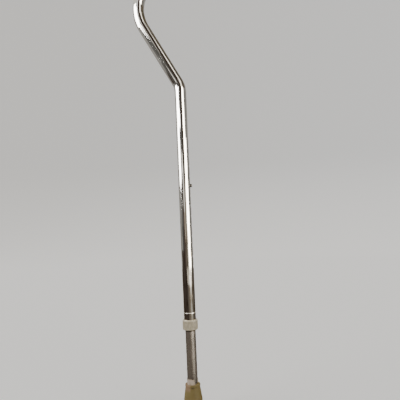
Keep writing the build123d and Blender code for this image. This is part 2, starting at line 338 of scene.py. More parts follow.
def holed_tube(name, route, radius_at, wall_thickness, holes, hole_radius, distances):
    """A tube along a route, with holes at distances from its start, facing its front."""
    wall = Wall(route)
    outer_start, outer_end, outer_rims = wall.surface(
        radius_at, distances, holes, hole_radius + EDGE_BREAK)
    inner_start, inner_end, inner_rims = wall.surface(
        lambda distance: radius_at(distance) - wall_thickness, distances, holes, hole_radius)
    for hole, outer_rim, inner_rim in zip(holes, outer_rims, inner_rims):
        radius = radius_at(hole) - EDGE_BREAK
        shoulder = []
        for index in outer_rim:
            _, y, distance = wall.straight[index]
            across = y * hole_radius / (hole_radius + EDGE_BREAK)
            up = (distance - hole) * hole_radius / (hole_radius + EDGE_BREAK)
            shoulder.append(wall.point(radius, asin(across / radius), hole + up))
        wall.faces += band(outer_rim, shoulder)
        wall.faces += band(shoulder, inner_rim)
    wall.faces += band(outer_start, inner_start)
    wall.faces += band(outer_end, inner_end)
    return mesh_object(name, wall.points, wall.faces, wall.straight)


def spaced(start, end, spacing):
    """Evenly spaced distances from start up to, but not with, end."""
    count = max(1, round((end - start) / spacing))
    return [start + (end - start) * step / count for step in range(count)]


# --- Material helpers -----------------------------------------------------------------

# The Mix node's sockets for colours. Its other sockets have the same names.
MIX_FACTOR = 0
MIX_FIRST = 6
MIX_SECOND = 7
MIX_RESULT = 2


def is_socket(value):
    return isinstance(value, bpy.types.NodeSocket)


class Finish:
    """A material that is built up one node at a time round a Principled shader."""

    def __init__(self, name, color, roughness, metallic=0.0):
        self.material = bpy.data.materials.new(name)
        self.material.use_nodes = True
        self.tree = self.material.node_tree
        self.shader = self.tree.nodes["Principled BSDF"]
        self.shader.inputs["Base Color"].default_value = (*color, 1)
        self.shader.inputs["Roughness"].default_value = roughness
        self.shader.inputs["Metallic"].default_value = metallic
        self.bumped = None

    def feed(self, socket, value):
        """Link a socket to the one that value is, or set it to a plain value."""
        if is_socket(value):
            self.tree.links.new(value, socket)
        else:
            socket.default_value = value

    def add(self, kind, inputs, **settings):
        node = self.tree.nodes.new("ShaderNode" + kind)
        for key, value in settings.items():
            setattr(node, key, value)
        for key, value in inputs.items():
            self.feed(node.inputs[key], value)
        return node

    def coordinates(self, attribute=None, stretch=(1, 1, 1), turn=(0, 0, 0)):
        """Places on the piece, from a mesh attribute or else the object, stretched."""
        if attribute:
            source = self.add("Attribute", {}, attribute_name=attribute).outputs["Vector"]
        else:
            source = self.add("TexCoord", {}).outputs["Object"]
        inputs = {"Vector": source, "Scale": stretch, "Rotation": turn}
        return self.add("Mapping", inputs).outputs["Vector"]

    def hollow(self):
        """How deep a point lies between ribs, 0 to 1."""
        return self.add("Attribute", {}, attribute_name="hollow").outputs["Fac"]

    def noise(self, vector, scale, detail=4.0, roughness=0.55):
        inputs = {"Vector": vector, "Scale": scale, "Detail": detail, "Roughness": roughness}
        return self.add("TexNoise", inputs).outputs["Fac"]

    def cells(self, vector, scale):
        inputs = {"Vector": vector, "Scale": scale}
        return self.add("TexVoronoi", inputs, feature="F1").outputs["Distance"]

    def along(self, vector, axis):
        return self.add("SeparateXYZ", {"Vector": vector}).outputs[axis]

    def spread(self, value, low, high, to_low=0.0, to_high=1.0):
        """value from low..high, eased to to_low..to_high."""
        inputs = {"Value": value, "From Min": low, "From Max": high,
                  "To Min": to_low, "To Max": to_high}
        return self.add("MapRange", inputs, interpolation_type="SMOOTHSTEP").outputs["Result"]

    def math(self, operation, first, second):
        return self.add("Math", {0: first, 1: second}, operation=operation).outputs["Value"]

    def times(self, first, second):
        return self.math("MULTIPLY", first, second)

    def plus(self, first, second):
        return self.math("ADD", first, second)

    def away(self, value, middle):
        """How far value is from middle, to either side."""
        return self.math("ABSOLUTE", self.math("SUBTRACT", value, middle), 0)

    def mixed(self, factor, first, second):
        """A colour that goes from first to second as factor goes from 0 to 1."""
        inputs = {MIX_FACTOR: factor}
        for key, color in ((MIX_FIRST, first), (MIX_SECOND, second)):
            inputs[key] = color if is_socket(color) else (*color, 1)
        return self.add("Mix", inputs, data_type="RGBA").outputs[MIX_RESULT]

    def set(self, socket, value):
        self.feed(self.shader.inputs[socket], value)

    def relief(self, height, depth, strength=1.0):
        """Bump of that depth in metres, on top of any bump added before."""
        inputs = {"Height": height, "Distance": depth, "Strength": strength}
        if self.bumped:
            inputs["Normal"] = self.bumped
        self.bumped = self.add("Bump", inputs).outputs["Normal"]
        self.set("Normal", self.bumped)


# --- Materials ------------------------------------------------------------------------

TAN = (0.2, 0.142, 0.032)
TAN_WORN = (0.24, 0.18, 0.055)
TAN_LIT_AND_WORN = (0.36, 0.23, 0.13)
# the colour of the painted highlight on the tip's worn left shoulder
TAN_DIRTY = (0.09, 0.065, 0.02)


def bright_metal():
    """Scratched bright plate, dulled near the groove and streaked below the button."""
    clean = (0.88, 0.87, 0.85)
    smeared = (0.74, 0.72, 0.68)
    dull = (0.36, 0.32, 0.26)
    pitted = (0.30, 0.27, 0.23)
    grimy = (0.34, 0.28, 0.19)
    finish = Finish("bright_tube", (0.86, 0.85, 0.83), 0.12, 1.0)
    place = finish.coordinates("straight")
    polish_lines = finish.noise(finish.coordinates("straight", (1, 1, 0.012)), 2600, 3)
    waviness = finish.noise(finish.coordinates("straight", (1, 1, 0.16)), 120, 1)
    streaks = finish.noise(finish.coordinates("straight", (1, 1, 0.07)), 480, 3)
    smears = finish.noise(finish.coordinates("straight", (1, 1, 0.3)), 70, 5)
    pits = finish.spread(finish.cells(place, 900), 0.12, 0.04)
    blotches = finish.spread(finish.noise(place, 45, 6), 0.5, 0.68)
    slanted = finish.coordinates("straight", (1, 1, 0.03), (0.1, 0.06, 0))
    scratches = finish.spread(finish.noise(slanted, 900, 2), 0.66, 0.72)
    distance = finish.along(place, "Z")
    groove = GROOVE_Z - TUBE_BOTTOM_Z
    near_groove = finish.spread(distance, groove + 55 * MM, groove, 0, 1)
    lower_half = finish.spread(distance, BUTTON_Z - TUBE_BOTTOM_Z, groove + 60 * MM)
    grime = finish.times(finish.spread(streaks, 0.44, 0.6), lower_half)
    dulled = finish.times(blotches, near_groove)
    base = finish.mixed(finish.spread(smears, 0.35, 0.75), clean, smeared)
    base = finish.mixed(finish.times(dulled, 0.6), base, dull)
    base = finish.mixed(finish.times(pits, 0.35), base, pitted)
    base = finish.mixed(finish.times(grime, 0.7), base, grimy)
    finish.set("Base Color", base)
    rough = finish.spread(smears, 0.3, 0.8, 0.03, 0.11)
    rough = finish.plus(rough, finish.times(scratches, 0.12))
    rough = finish.plus(rough, finish.times(dulled, 0.25))
    off_groove = finish.away(distance, groove)
    in_groove = finish.spread(off_groove, GROOVE_HALF_WIDTH, 0.6 * GROOVE_HALF_WIDTH, 0, 0.4)
    finish.set("Roughness", finish.plus(rough, in_groove))
    finish.relief(waviness, 0.05 * MM, 0.25)
    finish.relief(finish.times(streaks, lower_half), 0.1 * MM, 0.7)
    finish.relief(polish_lines, 0.004 * MM, 0.5)
    finish.relief(scratches, 0.01 * MM, -0.5)
    return finish.material


def satin_metal():
    """Drawn satin aluminium, with a dark ring of painted shade just below the collar."""
    clean = (0.6, 0.57, 0.53)
    patchy = (0.46, 0.42, 0.39)
    lined = (0.34, 0.3, 0.25)
    # the colour of the painted shade under the collar
    shade_black = (0.05, 0.035, 0.02)
    finish = Finish("satin_tube", (0.62, 0.6, 0.56), 0.34, 1.0)
    place = finish.coordinates("straight")
    drawn_lines = finish.noise(finish.coordinates("straight", (1, 1, 0.008)), 2200, 4)
    patches = finish.noise(finish.coordinates("straight", (1, 1, 0.4)), 90, 5)
    rings = finish.noise(finish.coordinates("straight", (0.02, 0.02, 1)), 900, 3)
    ring_marks = finish.spread(rings, 0.62, 0.7)
    base = finish.mixed(finish.spread(patches, 0.35, 0.7), clean, patchy)
    base = finish.mixed(finish.spread(drawn_lines, 0.4, 0.75, 0, 0.4), base, lined)
    # A dark ring just below the collar's bottom edge is painted shade: it stands for the
    # collar's shadow on the leg.
    shade_ring_z = collar_box[0].z - 1.2 * MM - leg_box[0].z
    off_shade_ring = finish.away(finish.along(place, "Z"), shade_ring_z)
    base = finish.mixed(finish.spread(off_shade_ring, 1.6 * MM, 0.8 * MM, 0, 0.85), base, shade_black)
    finish.set("Base Color", base)
    rough = finish.spread(patches, 0.3, 0.75, 0.22, 0.34)
    finish.set("Roughness", finish.plus(rough, finish.times(ring_marks, 0.1)))
    finish.set("Anisotropic", 0.4)
    finish.relief(drawn_lines, 0.01 * MM, 0.5)
    finish.relief(ring_marks, 0.01 * MM, -0.4)
    return finish.material


def collar_plastic():
    """Yellowed off-white plastic: a painted highlight along the top edge, and dirt between the
    ribs.
    """
    yellowed = (0.66, 0.57, 0.41)
    yellowed_dark = (0.52, 0.44, 0.29)
    # the colour of the painted highlight along the top edge
    top_highlight_color = (0.95, 0.88, 0.7)
    dirty = (0.24, 0.2, 0.14)
    top = collar_box[1].z
    finish = Finish("collar_plastic", (0.56, 0.52, 0.45), 0.48)
    place = finish.coordinates()
    hollow = finish.hollow()
    mottle = finish.noise(place, 160, 5)
    grime = finish.noise(place, 420, 6, 0.7)
    base = finish.mixed(finish.spread(mottle, 0.3, 0.75), yellowed, yellowed_dark)
    # The top edge is painted paler as a highlight, broken up by the mottle.
    top_highlight = finish.spread(finish.along(place, "Z"), top - 2.4 * MM, top - 0.8 * MM)
    top_highlight = finish.times(top_highlight, finish.spread(mottle, 0.4, 0.55, 0.2, 0.9))
    base = finish.mixed(top_highlight, base, top_highlight_color)
    dirt = finish.times(finish.spread(hollow, 0.2, 1), finish.spread(grime, 0.35, 0.7))
    base = finish.mixed(finish.times(dirt, 0.6), base, dirty)
    finish.set("Base Color", base)
    finish.set("Roughness", finish.spread(grime, 0.3, 0.8, 0.38, 0.62))
    finish.set("Subsurface Weight", 0.12)
    finish.set("Subsurface Radius", (0.004, 0.003, 0.002))
    finish.relief(grime, 0.04 * MM, 0.5)
    finish.relief(finish.noise(place, 60, 2), 0.1 * MM, 0.3)
    return finish.material


def moulded_nylon():
    """Plain mottled nylon, for the plug and both bushes."""
    light_grey = (0.34, 0.34, 0.33)
    dark_grey = (0.25, 0.25, 0.24)
    finish = Finish("grey_nylon", (0.3, 0.3, 0.29), 0.5)
    place = finish.coordinates()
    mottle = finish.noise(place, 220, 5)
    finish.set("Base Color", finish.mixed(mottle, light_grey, dark_grey))
    finish.set("Roughness", finish.spread(mottle, 0.3, 0.7, 0.42, 0.6))
    finish.relief(finish.noise(place, 1500, 3), 0.02 * MM, 0.5)
    return finish.material


def rubber(name, wear_and_highlight=None):
    """Grained tan rubber: paler where worn, dirty between ribs. Its last argument adds worn
    marks and a painted highlight to its colour.
    """
    finish = Finish(name, TAN, 0.7)
    finish.set("Specular IOR Level", 0.25)
    place = finish.coordinates()
    bloom = finish.noise(place, 55, 6, 0.6)
    grain = finish.noise(place, 1600, 4, 0.6)
    long_marks = finish.noise(finish.coordinates(stretch=(1, 1, 0.35)), 260, 5)
    scuffs = finish.spread(long_marks, 0.56, 0.7)
    hollow = finish.hollow()
    color = finish.mixed(finish.spread(bloom, 0.35, 0.7), TAN, TAN_WORN)
    color = finish.mixed(finish.times(scuffs, 0.35), color, TAN_WORN)
    dirt = finish.times(finish.spread(hollow, 0.3, 1), 0.55)
    color = finish.mixed(dirt, color, TAN_DIRTY)
    if wear_and_highlight:
        color = wear_and_highlight(finish, color, place, bloom)
    finish.set("Base Color", color)
    finish.set("Roughness", finish.spread(bloom, 0.3, 0.75, 0.58, 0.85))
    finish.set("Sheen Weight", 0.08)
    finish.relief(grain, 0.05 * MM, 0.6)
    finish.relief(finish.noise(place, 240, 4), 0.12 * MM, 0.35)
    return finish.material


def tape_strip():
    """A dull, wrinkled and stained strip."""
    pale = (0.66, 0.54, 0.42)
    stained = (0.46, 0.36, 0.26)
    finish = Finish("shim_strip", (0.52, 0.45, 0.36), 0.72)
    place = finish.coordinates()
    wrinkles = finish.noise(finish.coordinates(stretch=(1, 1, 0.25)), 700, 4)
    stains = finish.noise(place, 130, 5)
    finish.set("Base Color", finish.mixed(finish.spread(stains, 0.4, 0.7), pale, stained))
    finish.set("Roughness", finish.spread(wrinkles, 0.3, 0.7, 0.6, 0.82))
    finish.relief(wrinkles, 0.08 * MM, 0.6)
    return finish.material


def marked_steel(name, color, roughness, lines):
    """Steel with fine tool marks; lines is how the marks are stretched."""
    finish = Finish(name, color, roughness, 1.0)
    marks = finish.noise(finish.coordinates(stretch=lines), 1800, 3)
    tarnish = finish.noise(finish.coordinates(), 380, 5)
    dark = tuple(0.55 * channel for channel in color)
    finish.set("Base Color", finish.mixed(finish.spread(tarnish, 0.42, 0.7), color, dark))
    finish.set("Roughness", finish.spread(tarnish, 0.3, 0.7, roughness, roughness + 0.18))
    finish.relief(marks, 0.01 * MM, 0.5)
    return finish.material


def paint(piece, material):
    piece.data.materials.clear()
    piece.data.materials.append(material)


def dress(piece, material, slot, body, *nodes):
    """Finish a piece that stands for CAD nodes and rides on a body."""
    paint(piece, material)
    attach(piece, body)
    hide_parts(*nodes)


# --- Upper tube -----------------------------------------------------------------------


def upper_route():
    """The bent tube's centreline: shaft, slanted run, neck and handle."""
    lean = SHAFT_BEND_ANGLE
    neck_turn = radians(90) + lean
    bend_reach = SHAFT_BEND_R * tan(lean / 2)
    neck_reach = NECK_R * tan(neck_turn / 2)
    rise = HANDLE_Z - SHAFT_BEND_Z
    neck_corner_x = -rise * tan(lean)
    return Route(Vector((0, 0, TUBE_BOTTOM_Z)), [
        (SHAFT_BEND_Z - TUBE_BOTTOM_Z - bend_reach, 0),
        (SHAFT_BEND_R * lean, -lean),
        (rise / cos(lean) - bend_reach - neck_reach, 0),
        (NECK_R * neck_turn, neck_turn),
        (HANDLE_END_X - neck_corner_x - neck_reach, 0),
    ])


def make_upper_tube(material):
    route = upper_route()
    holes = [BUTTON_Z - TUBE_BOTTOM_Z + step * HOLE_PITCH
             for step in range(-HOLES_BELOW, HOLES_ABOVE + 1)]
    groove = GROOVE_Z - TUBE_BOTTOM_Z
    groove_start = groove - GROOVE_HALF_WIDTH
    groove_end = groove + GROOVE_HALF_WIDTH
    holed_start = holes[0] - HOLE_PITCH / 2
    holed_end = holes[-1] + HOLE_PITCH / 2
    distances = spaced(0, groove_start, 6 * MM)
    distances += spaced(groove_start, groove_end, 0.2 * MM)
    distances += spaced(groove_end, holed_start, 10 * MM)
    distances += spaced(holed_start, holed_end, HOLE_PITCH / HOLE_ROWS)
    straight_spacing = 12 * MM
    bend_spacing = 2 * MM
    start = holed_end
    run_start = 0.0
    for length, turn in route.runs:
        run_end = run_start + length
        if run_end > start:
            distances += spaced(start, run_end, bend_spacing if turn else straight_spacing)
            start = run_end
        run_start = run_end
    distances.append(route.length)

    def radius_at(distance):
        offset = (distance - groove) / GROOVE_HALF_WIDTH
        depth = GROOVE_DEPTH * cos(offset * pi / 2) ** 2 if abs(offset) < 1 else 0.0
        return TUBE_R - depth

    piece = holed_tube("bright_tube", route, radius_at, TUBE_WALL, holes, HOLE_R, distances)
    dress(piece, material, "bright_tube", "shaft", "upper_tube")


# --- Leg ------------------------------------------------------------------------------


def make_leg_tube(material):
    bottom = leg_box[0].z
    length = leg_box[1].z - bottom
    hole = BUTTON_Z - bottom
    holed_start = hole - HOLE_PITCH / 2
    holed_end = hole + HOLE_PITCH / 2
    route = Route(Vector((0, 0, bottom)), [(length, 0)])
    distances = spaced(0, holed_start, 15 * MM)
    distances += spaced(holed_start, holed_end, HOLE_PITCH / HOLE_ROWS)
    distances += spaced(holed_end, length, 8 * MM)
    distances.append(length)
    piece = holed_tube(
        "leg_tube", route, lambda distance: LEG_R, LEG_WALL, [hole], LEG_HOLE_R, distances)
    dress(piece, material, "satin_tube", "leg", "lower_tube")


# --- Collar ---------------------------------------------------------------------------

COLLAR_RIBS = 30
COLLAR_RIB_DEPTH = 0.35 * MM
COLLAR_RIB_POINTS = 8       # points round each rib


def make_collar(material):
    low, high = collar_box[0].z, collar_box[1].z
    outer = collar_box[1].y
    lip_bore = LEG_R + 0.35 * MM
    lip_top = low + 0.65 * MM
    cone_bore = 11.3 * MM
    cone_foot = low + 1.0 * MM
    thread_bore = 12.56 * MM
    thread_foot = low + 5 * MM
    plain_edge = 2.6 * MM
    run_out = 1.2 * MM
    skin = 0.2 * MM
    outline = rounded([
        (lip_bore, low + 0.4 * MM, 0),
        (lip_bore + 0.3 * MM, low, 0),
        (outer, low, 2.2 * MM),
        (outer, (low + high) / 2, 0),
        (outer, high, 1.4 * MM),
        (thread_bore, high, 0.3 * MM),
        (thread_bore, thread_foot, 0),
        (cone_bore, cone_foot, 0),
        (cone_bore, lip_top, 0),
        (lip_bore, lip_top, 0),
    ])

    def relief(angle, radius, along):
        """Ribs cut into the outside only, that fade out before both edges."""
        if radius < outer - skin:
            return 0.0
        edge = min(along - low, high - along)
        fade = min(max((edge - plain_edge) / run_out, 0), 1)
        return COLLAR_RIB_DEPTH * fade * rib_wave(angle, COLLAR_RIBS)

    segments = COLLAR_RIBS * COLLAR_RIB_POINTS
    piece = lathe("collar", subdivided(outline, 1.0 * MM), segments, relief=relief)
    dress(piece, material, "collar_plastic", "collar", "collar_nut")


# --- Rubber tip -----------------------------------------------------------------------

SOLE_RINGS = (6 * MM, 10 * MM, 14 * MM)     # inner radii
RING_WIDTH = 2 * MM
RING_SLOPE = 0.4 * MM
RING_DEPTH = 1.5 * MM
TIP_SEGMENTS = 96


def make_tip(material):
    height = tip_box[1].z
    sole = tip_box[1].y
    sole_edge = 6.5 * MM
    waist = 17.0 * MM
    waist_z = 22 * MM
    mouth = 13.8 * MM
    rim_z = height - 3.4 * MM
    bore = 10.2 * MM
    bore_floor = 6.5 * MM
    corners = [(0, 0, 0)]
    for inner in SOLE_RINGS:
        outer = inner + RING_WIDTH
        corners += [
            (inner, 0, 0),
            (inner + RING_SLOPE, RING_DEPTH, 0),
            (outer - RING_SLOPE, RING_DEPTH, 0),
            (outer, 0, 0),
        ]
    corners += [
        (sole, 0, 1.2 * MM),
        (sole, sole_edge, 2.5 * MM),
        (waist + 0.6 * MM, waist_z - 8 * MM, 12 * MM),
        (waist - 0.1 * MM, waist_z + 2 * MM, 8 * MM),
        (mouth - 0.25 * MM, rim_z - 1.6 * MM, 1 * MM),
        (mouth + 0.1 * MM, rim_z, 0.8 * MM),
        (mouth + 0.05 * MM, height, 1.0 * MM),
        (bore + 0.1 * MM, height, 0.5 * MM),
        (bore, bore_floor, 0),
        (0, bore_floor, 0),
    ]
    outline = subdivided(rounded(corners), 2.0 * MM)
    piece = lathe("tip", outline, TIP_SEGMENTS, closed=False)
    dress(piece, material, "tip_rubber", "leg", "rubber_tip")


def tip_wear_and_highlight(finish, color, place, bloom):
    """The mouth's rim is worn pale and painted with a highlight, strongest on its left, with a
    dirty dent in front.
    """
    height = tip_box[1].z
    along = finish.along(place, "Z")
    # The top of the rim is painted paler: partly worn, partly a painted highlight where light
    # falls on the mouth.
    rim = finish.spread(along, height - 5 * MM, height - 1 * MM)
    rim = finish.times(rim, finish.spread(bloom, 0.3, 0.6, 0.3, 0.8))
    color = finish.mixed(rim, color, TAN_WORN)
    # A pale patch on the left shoulder is a painted highlight on a worn patch.
    left = finish.spread(finish.along(place, "X"), -2.5 * MM, -6 * MM)
    left = finish.times(left, finish.spread(along, height - 14 * MM, height - 6 * MM))
    color = finish.mixed(finish.times(left, 0.8), color, TAN_LIT_AND_WORN)
    stretch = Vector((0.4, 0.15, 0.8))      # makes the dent wider than it is high
    middle = Vector((0.5 * MM, -14 * MM, height - 4.5 * MM)) * stretch
    ends = {0: finish.coordinates(stretch=stretch), 1: middle}
    reach = finish.add("VectorMath", ends, operation="DISTANCE").outputs["Value"]
    dent = finish.spread(reach, 1.6 * MM, 0.7 * MM, 0, 0.7)
    return finish.mixed(dent, color, TAN_DIRTY)


# --- Shim strip -----------------------------------------------------------------------

SHIM_OUTER_R = 10.16 * MM
SHIM_GAP_BEARING = -28      # degrees from +X, the middle of the strip's open side
SHIM_GAP = 80               # degrees
SHIM_COLUMNS = 84
SHIM_ROWS = 22
SHIM_WAVE = 0.35 * MM       # its ragged top edge
SHIM_RIPPLE = 0.2 * MM


def make_shim(material):
    low, high = shim_box[0].z, shim_box[1].z
    inner_r = LEG_R + 0.04 * MM
    start = radians(SHIM_GAP_BEARING + SHIM_GAP / 2)
    sweep = radians(360 - SHIM_GAP)
    highest = high - SHIM_WAVE - SHIM_RIPPLE
    stride = SHIM_COLUMNS + 1
    points = []
    for radius in (inner_r, SHIM_OUTER_R):
        for row in range(SHIM_ROWS + 1):
            for column in range(stride):
                angle = start + sweep * column / SHIM_COLUMNS
                ragged = SHIM_WAVE * sin(angle * 5) + SHIM_RIPPLE * sin(angle * 13 + 1)
                height = low + (highest + ragged - low) * row / SHIM_ROWS
                points.append((radius * cos(angle), radius * sin(angle), height))
    per_side = len(points) // 2
    faces = []
    for row in range(SHIM_ROWS):
        for column in range(SHIM_COLUMNS):
            first = row * stride + column
            quad = (first, first + 1, first + stride + 1, first + stride)
            faces.append(quad)
            faces.append(tuple(index + per_side for index in reversed(quad)))
    rim = list(range(stride))
    rim += [row * stride + SHIM_COLUMNS for row in range(1, SHIM_ROWS + 1)]
    rim += [SHIM_ROWS * stride + column for column in range(SHIM_COLUMNS - 1, -1, -1)]
    rim += [row * stride for row in range(SHIM_ROWS - 1, 0, -1)]
    faces += band(rim, [index + per_side for index in rim])
    piece = mesh_object("shim", points, faces)
    dress(piece, material, "shim_strip", "leg", "tip_shim")


# --- Snap button and spring -----------------------------------------------------------

SPRING_THICKNESS = 0.6 * MM
BUTTON_SEGMENTS = 48


def make_button(material):
    """The domed pin, its flange inside the leg, and the rivet stem that holds the spring."""
    tip_x = button_box[1].x
    rivet_x = button_box[0].x
    rivet_top_x = rivet_x + 0.8 * MM
    flange_x = 6.3 * MM
    flange_top_x = flange_x + 0.7 * MM
    rivet_r = 2.4 * MM
    stem_r = 1.5 * MM
    flange_r = 3.9 * MM
    pin_r = 3.1 * MM
    dome = 2.2 * MM
    dome_r = 1.9 * MM
    outline = rounded([
        (0, rivet_x, 0),
        (rivet_r, rivet_x, 0.3 * MM),
        (rivet_r, rivet_top_x, 0),
        (stem_r, rivet_top_x, 0),
        (stem_r, flange_x, 0),
        (flange_r, flange_x, 0.15 * MM),
        (flange_r, flange_top_x, 0.2 * MM),
        (pin_r, flange_top_x, 0),
        (pin_r, tip_x - dome, 0),
        (pin_r, tip_x, dome_r),
        (0, tip_x, 0),
    ], steps=8)
    place = Matrix.Translation((0, 0, BUTTON_Z)) @ Matrix.Rotation(radians(90), 4, "Y")
    piece = lathe("button", outline, BUTTON_SEGMENTS, place=place, closed=False)
    dress(piece, material, "button_steel", "button", "snap_button")


def make_spring(material):
    """A strip folded to a V: the button's leaf, and the one that bears on the leg."""
    half_width = (spring_box[1].y - spring_box[0].y) / 2
    leaf_x = spring_box[1].x - SPRING_THICKNESS / 2
    leaf_foot_z = BUTTON_Z - 6 * MM
    far_x = spring_box[0].x + SPRING_THICKNESS / 2
    top = spring_box[1].z
    far_foot_z = top - 8 * MM
    fold_z = spring_box[0].z + SPRING_THICKNESS / 2
    line = rounded([
        (leaf_x, top, 0),
        (leaf_x, leaf_foot_z, 4 * MM),
        (0.6 * MM, fold_z, 0.8 * MM),
        (-1.4 * MM, fold_z, 0.8 * MM),
        (far_x, far_foot_z, 4 * MM),
        (far_x, top, 0),
    ], steps=8)
    points = []
    faces = []
    for index, here in enumerate(line):
        before = line[max(index - 1, 0)]
        after = line[min(index + 1, len(line) - 1)]
        ahead = (after - before).normalized()
        across = Vector((-ahead.y, ahead.x)) * SPRING_THICKNESS / 2
        for side, width in ((1, 1), (1, -1), (-1, -1), (-1, 1)):
            edge = here + side * across
            points.append(Vector((edge.x, width * half_width, edge.y)))
        if index:
            last = 4 * index
            faces += band(range(last - 4, last), range(last, last + 4))
    faces.append((0, 1, 2, 3))
    faces.append(tuple(range(len(points) - 4, len(points))))
    piece = mesh_object("spring", points, faces)
    dress(piece, material, "spring_steel", "leg", "snap_spring")
    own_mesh(piece)


# --- Grip -----------------------------------------------------------------------------

GRIP_RIBS = 40
GRIP_RIB_DEPTH = 0.45 * MM
GRIP_RIB_POINTS = 6         # points round each rib


def make_grip(material):
    """The moulded grip: a rolled rim, a slightly swelled ribbed part and a domed nose."""
    start, end = grip_box[0].x, grip_box[1].x
    middle = (start + end) / 2 - 5 * MM
    nose = grip_box[1].y
    rim = 15.6 * MM
    swell = 16.3 * MM
    drain = 1.6 * MM
    bore = TUBE_R + 0.04 * MM
    bore_end = end - 4.5 * MM
    drain_end = end - 0.6 * MM
    ribs_start = start + 15 * MM
    ribs_end = end - 20 * MM
    run_out = 3 * MM
    ribbed_from = 14 * MM
    outline = rounded([
        (bore, start + 0.6 * MM, 0),
        (bore + 0.6 * MM, start, 0),
        (rim, start, 1.6 * MM),
        (rim, start + 6 * MM, 1.6 * MM),
        (rim - 1 * MM, start + 9 * MM, 2.0 * MM),
        (rim, start + 24 * MM, 30 * MM),
        (swell, middle, 120 * MM),
        (swell - 0.6 * MM, end - 28 * MM, 30 * MM),
        (swell - 1.2 * MM, end - 14 * MM, 2.0 * MM),
        (nose, end - 9.5 * MM, 2.0 * MM),
        (nose, end - 4 * MM, 4 * MM),
        (9 * MM, end, 4 * MM),
        (drain + 0.6 * MM, end, 0.3 * MM),
        (drain, drain_end, 0.3 * MM),
        (0, drain_end, 0),
    ], steps=6)
    outline += [Vector((0, bore_end)), Vector((bore, bore_end))]

    def relief(angle, radius, along):
        """Ribs cut into the outside only, that fade out at both ends."""
        if radius < ribbed_from or not ribs_start < along < ribs_end:
            return 0.0
        edge = min(along - ribs_start, ribs_end - along)
        return GRIP_RIB_DEPTH * min(edge / run_out, 1) * rib_wave(angle, GRIP_RIBS)

    place = Matrix.Translation((0, 0, HANDLE_Z)) @ Matrix.Rotation(radians(90), 4, "Y")
    segments = GRIP_RIBS * GRIP_RIB_POINTS
    piece = lathe("grip", subdivided(outline, 1.5 * MM), segments, place=place, relief=relief)
    dress(piece, material, "grip_rubber", "shaft", "handle_grip")


# --- The object -----------------------------------------------------------------------

# How tool marks are stretched: round the button's axis, up the spring's leaves, or evenly.
TURNED_MARKS = (1, 0.2, 0.2)
ROLLED_MARKS = (1, 1, 0.02)
EVEN_MARKS = (1, 1, 1)

make_upper_tube(bright_metal())
make_leg_tube(satin_metal())
make_collar(collar_plastic())
make_tip(rubber("tip_rubber", tip_wear_and_highlight))
make_shim(tape_strip())
make_button(marked_steel("button_steel", (0.12, 0.11, 0.1), 0.38, TURNED_MARKS))
make_spring(marked_steel("spring_steel", (0.3, 0.31, 0.34), 0.3, ROLLED_MARKS))
make_grip(rubber("grip_rubber"))

nylon = moulded_nylon()
for node in ("handle_end_plug", "collet_bush", "guide_bush"):
    paint(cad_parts[node], nylon)
washer_metal = marked_steel("washer_steel", (0.55, 0.55, 0.55), 0.35, EVEN_MARKS)
paint(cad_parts["tip_washer"], washer_metal)

# --- Stage ----------------------------------------------------------------------------

FLOOR_R = 3.7
SWEEP_R = 1.2
WALL_TOP = 4.0
FLOOR_SEGMENTS = 96
SOFT_LIGHT_ANGLE = radians(40)
CARD_DISTANCE = 3.0
GLINT_DISTANCE = 2.96       # just in front of the other cards
CARD_STEP = 10              # degrees between a card's corners, at most
FLOOR_CARD_Z = 0.002
WHITE = (1.0, 0.98, 0.95)
CREAM = (1.0, 0.93, 0.8)
STONE = (1.0, 0.96, 0.88)
TAUPE = (1.0, 0.84, 0.66)
BROWN = (1.0, 0.75, 0.6)


def make_floor():
    """A pale round floor that sweeps up into a backdrop all round."""
    wall = FLOOR_R + SWEEP_R
    outline = rounded([(0, 0, 0), (wall, 0, SWEEP_R), (wall, WALL_TOP, 0)], steps=12)
    floor = lathe("floor", outline, FLOOR_SEGMENTS, closed=False)
    paper = Finish("floor_paper", (0.93, 0.92, 0.9), 0.9)
    paper.set("Specular IOR Level", 0.0)
    paper.set("Emission Color", (1.0, 0.98, 0.94, 1))
    paper.set("Emission Strength", 0.15)
    paint(floor, paper.material)
    floor.visible_shadow = False
    floor.visible_diffuse = False


def make_soft_light(name, azimuth, height, strength, color):
    """A broad far light, azimuth degrees to the right of the camera and height degrees up.
    It lights the matte pieces. What the bright ones mirror is on the cards."""
    data = bpy.data.lights.new(name, "SUN")
    data.angle = SOFT_LIGHT_ANGLE
    data.energy = strength
    data.color = color
    light = bpy.data.objects.new(name, data)
    bearing = radians(azimuth)
    rise = radians(height)
    source = Vector((cos(rise) * sin(bearing), -cos(rise) * cos(bearing), sin(rise)))
    light.matrix_world = source.to_track_quat("Z", "Y").to_matrix().to_4x4()
    light.visible_camera = False
    light.visible_glossy = False
    bpy.context.scene.collection.objects.link(light)


def arc_bearings(first, last):
    """Bearings in radians between two azimuths in degrees."""
    steps = max(1, round((last - first) / CARD_STEP))
    return [radians(first + (last - first) * step / steps) for step in range(steps + 1)]


def reflection_card(name, lower, upper, radiance, color):
    """A glowing strip between two rows of points, which only shows in reflections."""
    count = len(lower)
    faces = [(step, step + 1, count + step + 1, count + step) for step in range(count - 1)]
    mesh = bpy.data.meshes.new(name)
    mesh.from_pydata(lower + upper, [], faces)
    card = bpy.data.objects.new(name, mesh)
    for kind in ("camera", "diffuse", "shadow", "transmission"):
        setattr(card, "visible_" + kind, False)
    bpy.context.scene.collection.objects.link(card)
    finish = Finish(name, (0, 0, 0), 1.0)
    finish.set("Specular IOR Level", 0.0)
    finish.set("Emission Color", (*color, 1))
    finish.set("Emission Strength", radiance)
    paint(card, finish.material)


